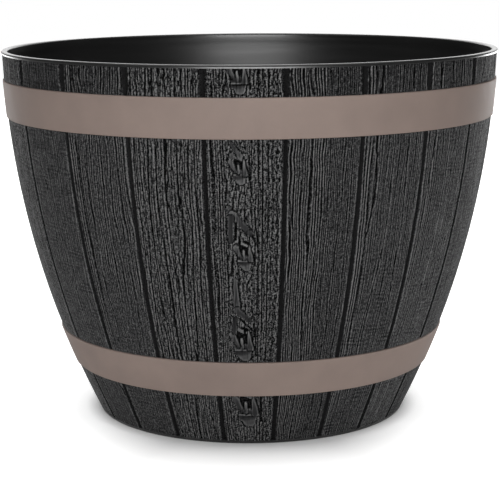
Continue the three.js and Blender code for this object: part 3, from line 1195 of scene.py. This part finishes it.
@dataclass
class ShellCore:
    """The rest of the moulding: smooth inside, lip, plain foot, floor with its drain holes."""

    wall: WallCurve
    drains: Sequence[Vector]
    floor: float = 4 * MM
    foot_rise: float = 6 * MM
    foot_width: float = 6.5 * MM
    foot_chamfer: float = 0.6 * MM
    floor_fillet: float = 7 * MM
    flat_ring: float = 2 * MM
    lip_round: float = 1.5 * MM
    channel: float = 2.2 * MM
    drain_radius: float = 8 * MM
    seat_radius: float = 11.8 * MM
    seat_depth: float = 1.4 * MM
    overshoot: float = 1 * MM
    turn_steps: int = 192
    wall_steps: int = 48
    round_steps: int = 5
    drain_steps: int = 48

    def outline(self) -> Profile:
        """Draws the core's section.

        Returns:
            The section, from the axis under the floor round to the axis on top of it.
        """
        wall = self.wall
        inner_foot = wall.foot_radius - self.foot_chamfer - self.foot_width
        floor_top = self.foot_rise + self.floor
        points: Profile = [(0.0, self.foot_rise), (inner_foot, self.foot_rise), (inner_foot, 0.0)]
        points.append((wall.foot_radius - self.foot_chamfer, 0.0))
        points += [(wall.face_radius(z), z) for z in (self.foot_chamfer, wall.foot_strip)]
        for z in np.linspace(wall.foot_strip, wall.carved_top, self.wall_steps + 1):
            points.append((wall.face_radius(z) - self.channel, z))
        points.append((wall.rim_radius, wall.carved_top))
        outer = (wall.rim_radius - self.lip_round, wall.height - self.lip_round)
        points += arc_points(outer, self.lip_round, 0, 90, self.round_steps)
        inner = (wall.rim_radius - wall.lip_width + self.lip_round, wall.height - self.lip_round)
        points += arc_points(inner, self.lip_round, 90, 180, self.round_steps)
        wall_top = wall.carved_top - wall.lip_width
        fillet_top = floor_top + self.floor_fillet
        for z in np.linspace(wall_top, fillet_top, self.wall_steps + 1)[:-1]:
            points.append((wall.inside_radius(z), z))
        corner = (wall.inside_radius(fillet_top) - self.floor_fillet, fillet_top)
        points += arc_points(corner, self.floor_fillet, 0, -90, self.round_steps)
        return points + [(corner[0] - self.flat_ring, floor_top), (0.0, floor_top)]

    def drain_cutter(self) -> bpy.types.Object:
        """Makes one solid of the drain holes and their plugs' seats, to be taken out of the floor.

        Returns:
            The solid, which stays in the scene until it has been used.
        """
        floor_top = self.foot_rise + self.floor
        section: Profile = [
            (0.0, self.foot_rise - self.overshoot),
            (self.drain_radius, self.foot_rise - self.overshoot),
            (self.drain_radius, floor_top - self.seat_depth),
            (self.seat_radius, floor_top - self.seat_depth),
            (self.seat_radius, floor_top + self.overshoot),
            (0.0, floor_top + self.overshoot),
        ]
        holes = bmesh.new()
        scratch = bpy.data.meshes.new("drain_cutter")
        for centre in self.drains:
            hole = turned(section, self.drain_steps)
            bmesh.ops.translate(hole, verts=hole.verts, vec=centre)
            hole.to_mesh(scratch)
            hole.free()
            holes.from_mesh(scratch)
        holes.to_mesh(scratch)
        holes.free()
        return new_object("drain_cutter", scratch)

    def build(self, material: bpy.types.Material) -> bpy.types.Object:
        """Builds the core.

        Args:
            material: The smooth finish.

        Returns:
            The core.
        """
        core = piece_from(turned(self.outline(), self.turn_steps), "shell_core", material)
        cutter = self.drain_cutter()
        cut = core.modifiers.new("drains", "BOOLEAN")
        cut.operation, cut.solver, cut.object = "DIFFERENCE", "EXACT", cutter
        graph = bpy.context.evaluated_depsgraph_get()
        mesh_bm = bmesh.new()
        mesh_bm.from_object(core, graph)
        core.modifiers.clear()
        bpy.data.objects.remove(cutter)
        bmesh.ops.remove_doubles(mesh_bm, verts=mesh_bm.verts, dist=SAME_POINT)
        mark_sharp(mesh_bm)
        mesh_bm.to_mesh(core.data)
        mesh_bm.free()
        return core


@dataclass
class Hoop:
    """One smooth painted hoop, with rounded edges, in its recess round the wall."""

    wall: WallCurve
    place: HoopPlace
    edge_round: float = 0.8 * MM
    turn_steps: int = 192
    rise_steps: int = 8
    round_steps: int = 3

    def outer(self, height: float) -> float:
        """Radius of the hoop's outside at a height."""
        return self.wall.face_radius(height) + self.place.proud

    def build(self, material: bpy.types.Material) -> bpy.types.Object:
        """Builds the hoop.

        Args:
            material: The painted finish.

        Returns:
            The hoop.
        """
        levels = np.linspace(self.place.bottom, self.place.top, self.rise_steps + 1)
        low, high = self.place.bottom + self.edge_round, self.place.top - self.edge_round
        foot, head = ((self.outer(z) - self.edge_round, z) for z in (low, high))
        section: Profile = [(self.outer(z) - self.place.thickness, z) for z in levels[::-1]]
        section += arc_points(foot, self.edge_round, -90, 0, self.round_steps)
        section += [(self.outer(z), z) for z in levels[1:-1]]
        section += arc_points(head, self.edge_round, 0, 90, self.round_steps)
        mesh_bm = turned(section, self.turn_steps)
        mark_sharp(mesh_bm)
        return piece_from(mesh_bm, f"{self.place.node}_hoop", material)


@dataclass
class DrainPlug:
    """A rubber plug in one drain hole: stem, head and pull knob, all with rounded edges."""

    number: int
    centre: Vector
    tip: float = 4.5 * MM
    head_bottom: float = 8.9 * MM
    stem_radius: float = 7.7 * MM
    stem_taper: float = 0.8 * MM
    tip_round: float = 0.4 * MM
    head_radius: float = 11.5 * MM
    head_height: float = 2.4 * MM
    head_round: float = 0.8 * MM
    neck_radius: float = 2.8 * MM
    neck_height: float = 2.4 * MM
    grip_radius: float = 4.2 * MM
    grip_round: float = 1.4 * MM
    grip_height: float = 8 * MM
    turn_steps: int = 48
    round_steps: int = 4
    tip_steps: int = 2

    def build(self, material: bpy.types.Material) -> bpy.types.Object:
        """Builds the plug.

        Args:
            material: The rubber finish.

        Returns:
            The plug.
        """
        head_top = self.head_bottom + self.head_height
        knob_low = head_top + self.neck_height
        grip_top = head_top + self.grip_height
        fillet = (self.grip_radius - self.neck_radius) / 2
        foot = (self.stem_radius - self.stem_taper - self.tip_round, self.tip + self.tip_round)
        rim = (self.head_radius - self.head_round, head_top - self.head_round)
        throat = (self.neck_radius + fillet, head_top + fillet)
        knob = (self.grip_radius - self.grip_round, grip_top - self.grip_round)
        section: Profile = [(0.0, self.tip)]
        section += arc_points(foot, self.tip_round, -90, 0, self.tip_steps)
        section += [(self.stem_radius, self.head_bottom), (self.head_radius, self.head_bottom)]
        section += arc_points(rim, self.head_round, 0, 90, self.round_steps)
        section += arc_points(throat, fillet, 270, 180, self.round_steps)
        section += [(self.neck_radius, knob_low), (self.grip_radius, knob_low + 2 * fillet)]
        section += arc_points(knob, self.grip_round, 0, 90, self.round_steps)
        section.append((0.0, grip_top))
        mesh_bm = turned(section, self.turn_steps)
        bmesh.ops.translate(mesh_bm, verts=mesh_bm.verts, vec=self.centre)
        mark_sharp(mesh_bm)
        return piece_from(mesh_bm, f"plug_{self.number}_rubber", material)


@dataclass(frozen=True)
class SoftLight:
    """One soft area light, aimed at a point of the pot. A spread under 180 degrees makes it a beam."""

    name: str
    place: tuple[float, float, float]
    aim: tuple[float, float, float]
    size: tuple[float, float]
    watts: float
    spread: float = 180.0


@dataclass
class Studio:
    """The camera at the photograph's angle, white surroundings, paper floor and soft lights."""

    focal_pixels: float = 1660.4  # focal length, in pixels of the photograph
    distance: float = 1.3370
    camera_height: float = 0.3769
    pitch: float = 10.610  # degrees down
    roll: float = 0.331  # degrees
    centre_pixel: float = 250.56  # column of the photograph that the camera looks along
    sensor: float = 36.0
    floor_side: float = 8.0
    floor_cells: int = 16
    ambient: float = 0.1
    lights: tuple[SoftLight, ...] = (
        SoftLight("key", (0.0, -2.1, 0.46), (0, 0, 0.18), (1.6, 0.42), 31),
        SoftLight("top_left", (-1.0, -0.5, 1.5), (0, 0, 0.29), (0.7, 0.7), 1.5),
        SoftLight("top_right", (1.0, -0.5, 1.5), (0, 0, 0.29), (0.7, 0.7), 1),
        SoftLight("crown", (0.0, -0.7, 2.3), (0, 0, 0.29), (0.7, 0.4), 6),
        SoftLight("left_low", (-1.0, 1.15, 0.15), (0, 0, 0.12), (0.6, 0.26), 3.6),
        SoftLight("right_low", (1.0, 1.15, 0.15), (0, 0, 0.12), (0.6, 0.26), 6),
        SoftLight("left_foot", (-1.4, 0.25, 0.12), (-0.12, -0.05, 0.02), (0.3, 0.2), 0.06, 18),
        SoftLight("right_foot", (1.4, 0.25, 0.12), (0.12, -0.05, 0.02), (0.3, 0.2), 0.1, 18),
        SoftLight("back", (0.0, 2.5, 1.25), (0, 0, 0.29), (3.0, 1.7), 32),
        SoftLight("overhead", (0.0, 0.0, 2.4), (0, 0, 0), (2.4, 2.4), 18),
    )

    def build(self) -> None:
        """Sets the whole studio up."""
        self.add_camera()
        self.add_surroundings()
        self.add_floor()
        for light in self.lights:
            self.add_light(light)

    def add_camera(self) -> None:
        """Places the camera so that the pot lies in the frame as in the photograph."""
        pitch, roll = math.radians(self.pitch), math.radians(self.roll)
        level_right = Vector((1, 0, 0))
        level_up = Vector((0, math.sin(pitch), math.cos(pitch)))
        ahead = Vector((0, math.cos(pitch), -math.sin(pitch)))
        right = level_right * math.cos(roll) - level_up * math.sin(roll)
        up = level_right * math.sin(roll) + level_up * math.cos(roll)
        turn = Matrix((right, up, -ahead)).transposed().to_4x4()
        data = bpy.data.cameras.new("camera")
        data.sensor_width = self.sensor
        data.lens = self.focal_pixels * self.sensor / PHOTO_SIDE
        data.shift_x = (PHOTO_SIDE / 2 - self.centre_pixel) / PHOTO_SIDE
        camera = new_object("camera", data)
        camera.matrix_world = Matrix.Translation((0, -self.distance, self.camera_height)) @ turn
        bpy.context.scene.camera = camera

    def add_surroundings(self) -> None:
        """Makes the white surroundings: plain white to look at, and dimmer as a light."""
        bpy.context.scene.view_settings.view_transform = "Standard"
        world = bpy.data.worlds.new("white_studio")
        world.use_nodes = True
        tree = world.node_tree
        dim = tree.nodes["Background"]
        fill(dim, Color=(1, 1, 1, 1), Strength=self.ambient)
        white = add_node(tree, "Background", Color=(1, 1, 1, 1), Strength=1.0)
        seen = add_node(tree, "LightPath", out="Is Camera Ray")
        both = add_node(tree, "MixShader", in_0=seen, in_1=dim.outputs[0], in_2=white)
        fill(tree.nodes["World Output"], Surface=both)
        bpy.context.scene.world = world

    def add_floor(self) -> None:
        """Lays the paper floor under the pot."""
        mesh_bm = bmesh.new()
        cells = self.floor_cells
        bmesh.ops.create_grid(mesh_bm, x_segments=cells, y_segments=cells, size=self.floor_side / 2)
        floor = piece_from(mesh_bm, "paper_floor", StudioPaper().material())

    def add_light(self, light: SoftLight) -> None:
        """Adds one soft light.

        Args:
            light: The light to add.
        """
        data = bpy.data.lights.new(light.name, "AREA")
        data.shape = "RECTANGLE"
        data.size, data.size_y = light.size
        data.energy = light.watts
        data.spread = math.radians(light.spread)
        lamp = new_object(light.name, data)
        lamp.location = light.place
        toward = Vector(light.aim) - Vector(light.place)
        lamp.rotation_euler = toward.to_track_quat("-Z", "Y").to_euler()


@dataclass
class BarrelPlanter:
    """The whole planter, put together from its sub-assemblies."""

    wall: WallCurve
    hoops: list[HoopPlace]
    drains: dict[int, Vector]

    @classmethod
    def from_frame(cls) -> "BarrelPlanter":
        """Reads the planter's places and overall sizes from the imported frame.

        Returns:
            The planter, which isn't built yet.
        """
        _, shell_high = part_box("planter_shell")
        wall = WallCurve(height=shell_high.z, rim_radius=shell_high.x)
        places = []
        for node in ("upper_band", "lower_band"):
            low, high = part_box(node)
            places.append(HoopPlace(node, low.z, high.z))
        drains = {}
        for number in range(1, 6):
            low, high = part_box(f"drain_plug_{number}")
            middle = (low + high) / 2
            drains[number] = Vector((middle.x, middle.y, 0))
        return cls(wall, places, drains)

    def build(self) -> list[bpy.types.Object]:
        """Builds and dresses every piece, and puts each on its body.

        Returns:
            The pieces.
        """
        charred, smooth = CharredResin().material(), SmoothResin().material()
        paint, rubber = TaupePaint().material(), BlackRubber().material()
        core = ShellCore(self.wall, list(self.drains.values())).build(smooth)
        shell = [core] + StaveReliefs(self.wall, self.hoops).build(charred)
        for piece in shell:
            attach(piece, "planter")
            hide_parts("planter_shell")
        rings = []
        for place in self.hoops:
            ring = Hoop(self.wall, place).build(paint)
            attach(ring, "planter")
            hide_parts(place.node)
            rings.append(ring)
        plugs = []
        for number, centre in self.drains.items():
            plug = DrainPlug(number, centre).build(rubber)
            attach(plug, f"plug_{number}")
            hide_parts(f"drain_plug_{number}")
            plugs.append(plug)
        return shell + rings + plugs


def main() -> None:
    """Builds the studio and the planter, and reports each piece."""
    logging.basicConfig(level=logging.INFO, format="%(name)s: %(message)s")
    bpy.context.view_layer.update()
    Studio().build()
    for piece in BarrelPlanter.from_frame().build():
        triangles = sum(len(face.vertices) - 2 for face in piece.data.polygons)
        log.info("%s: %d triangles", piece.name, triangles)


if __name__ == "__main__":
    main()
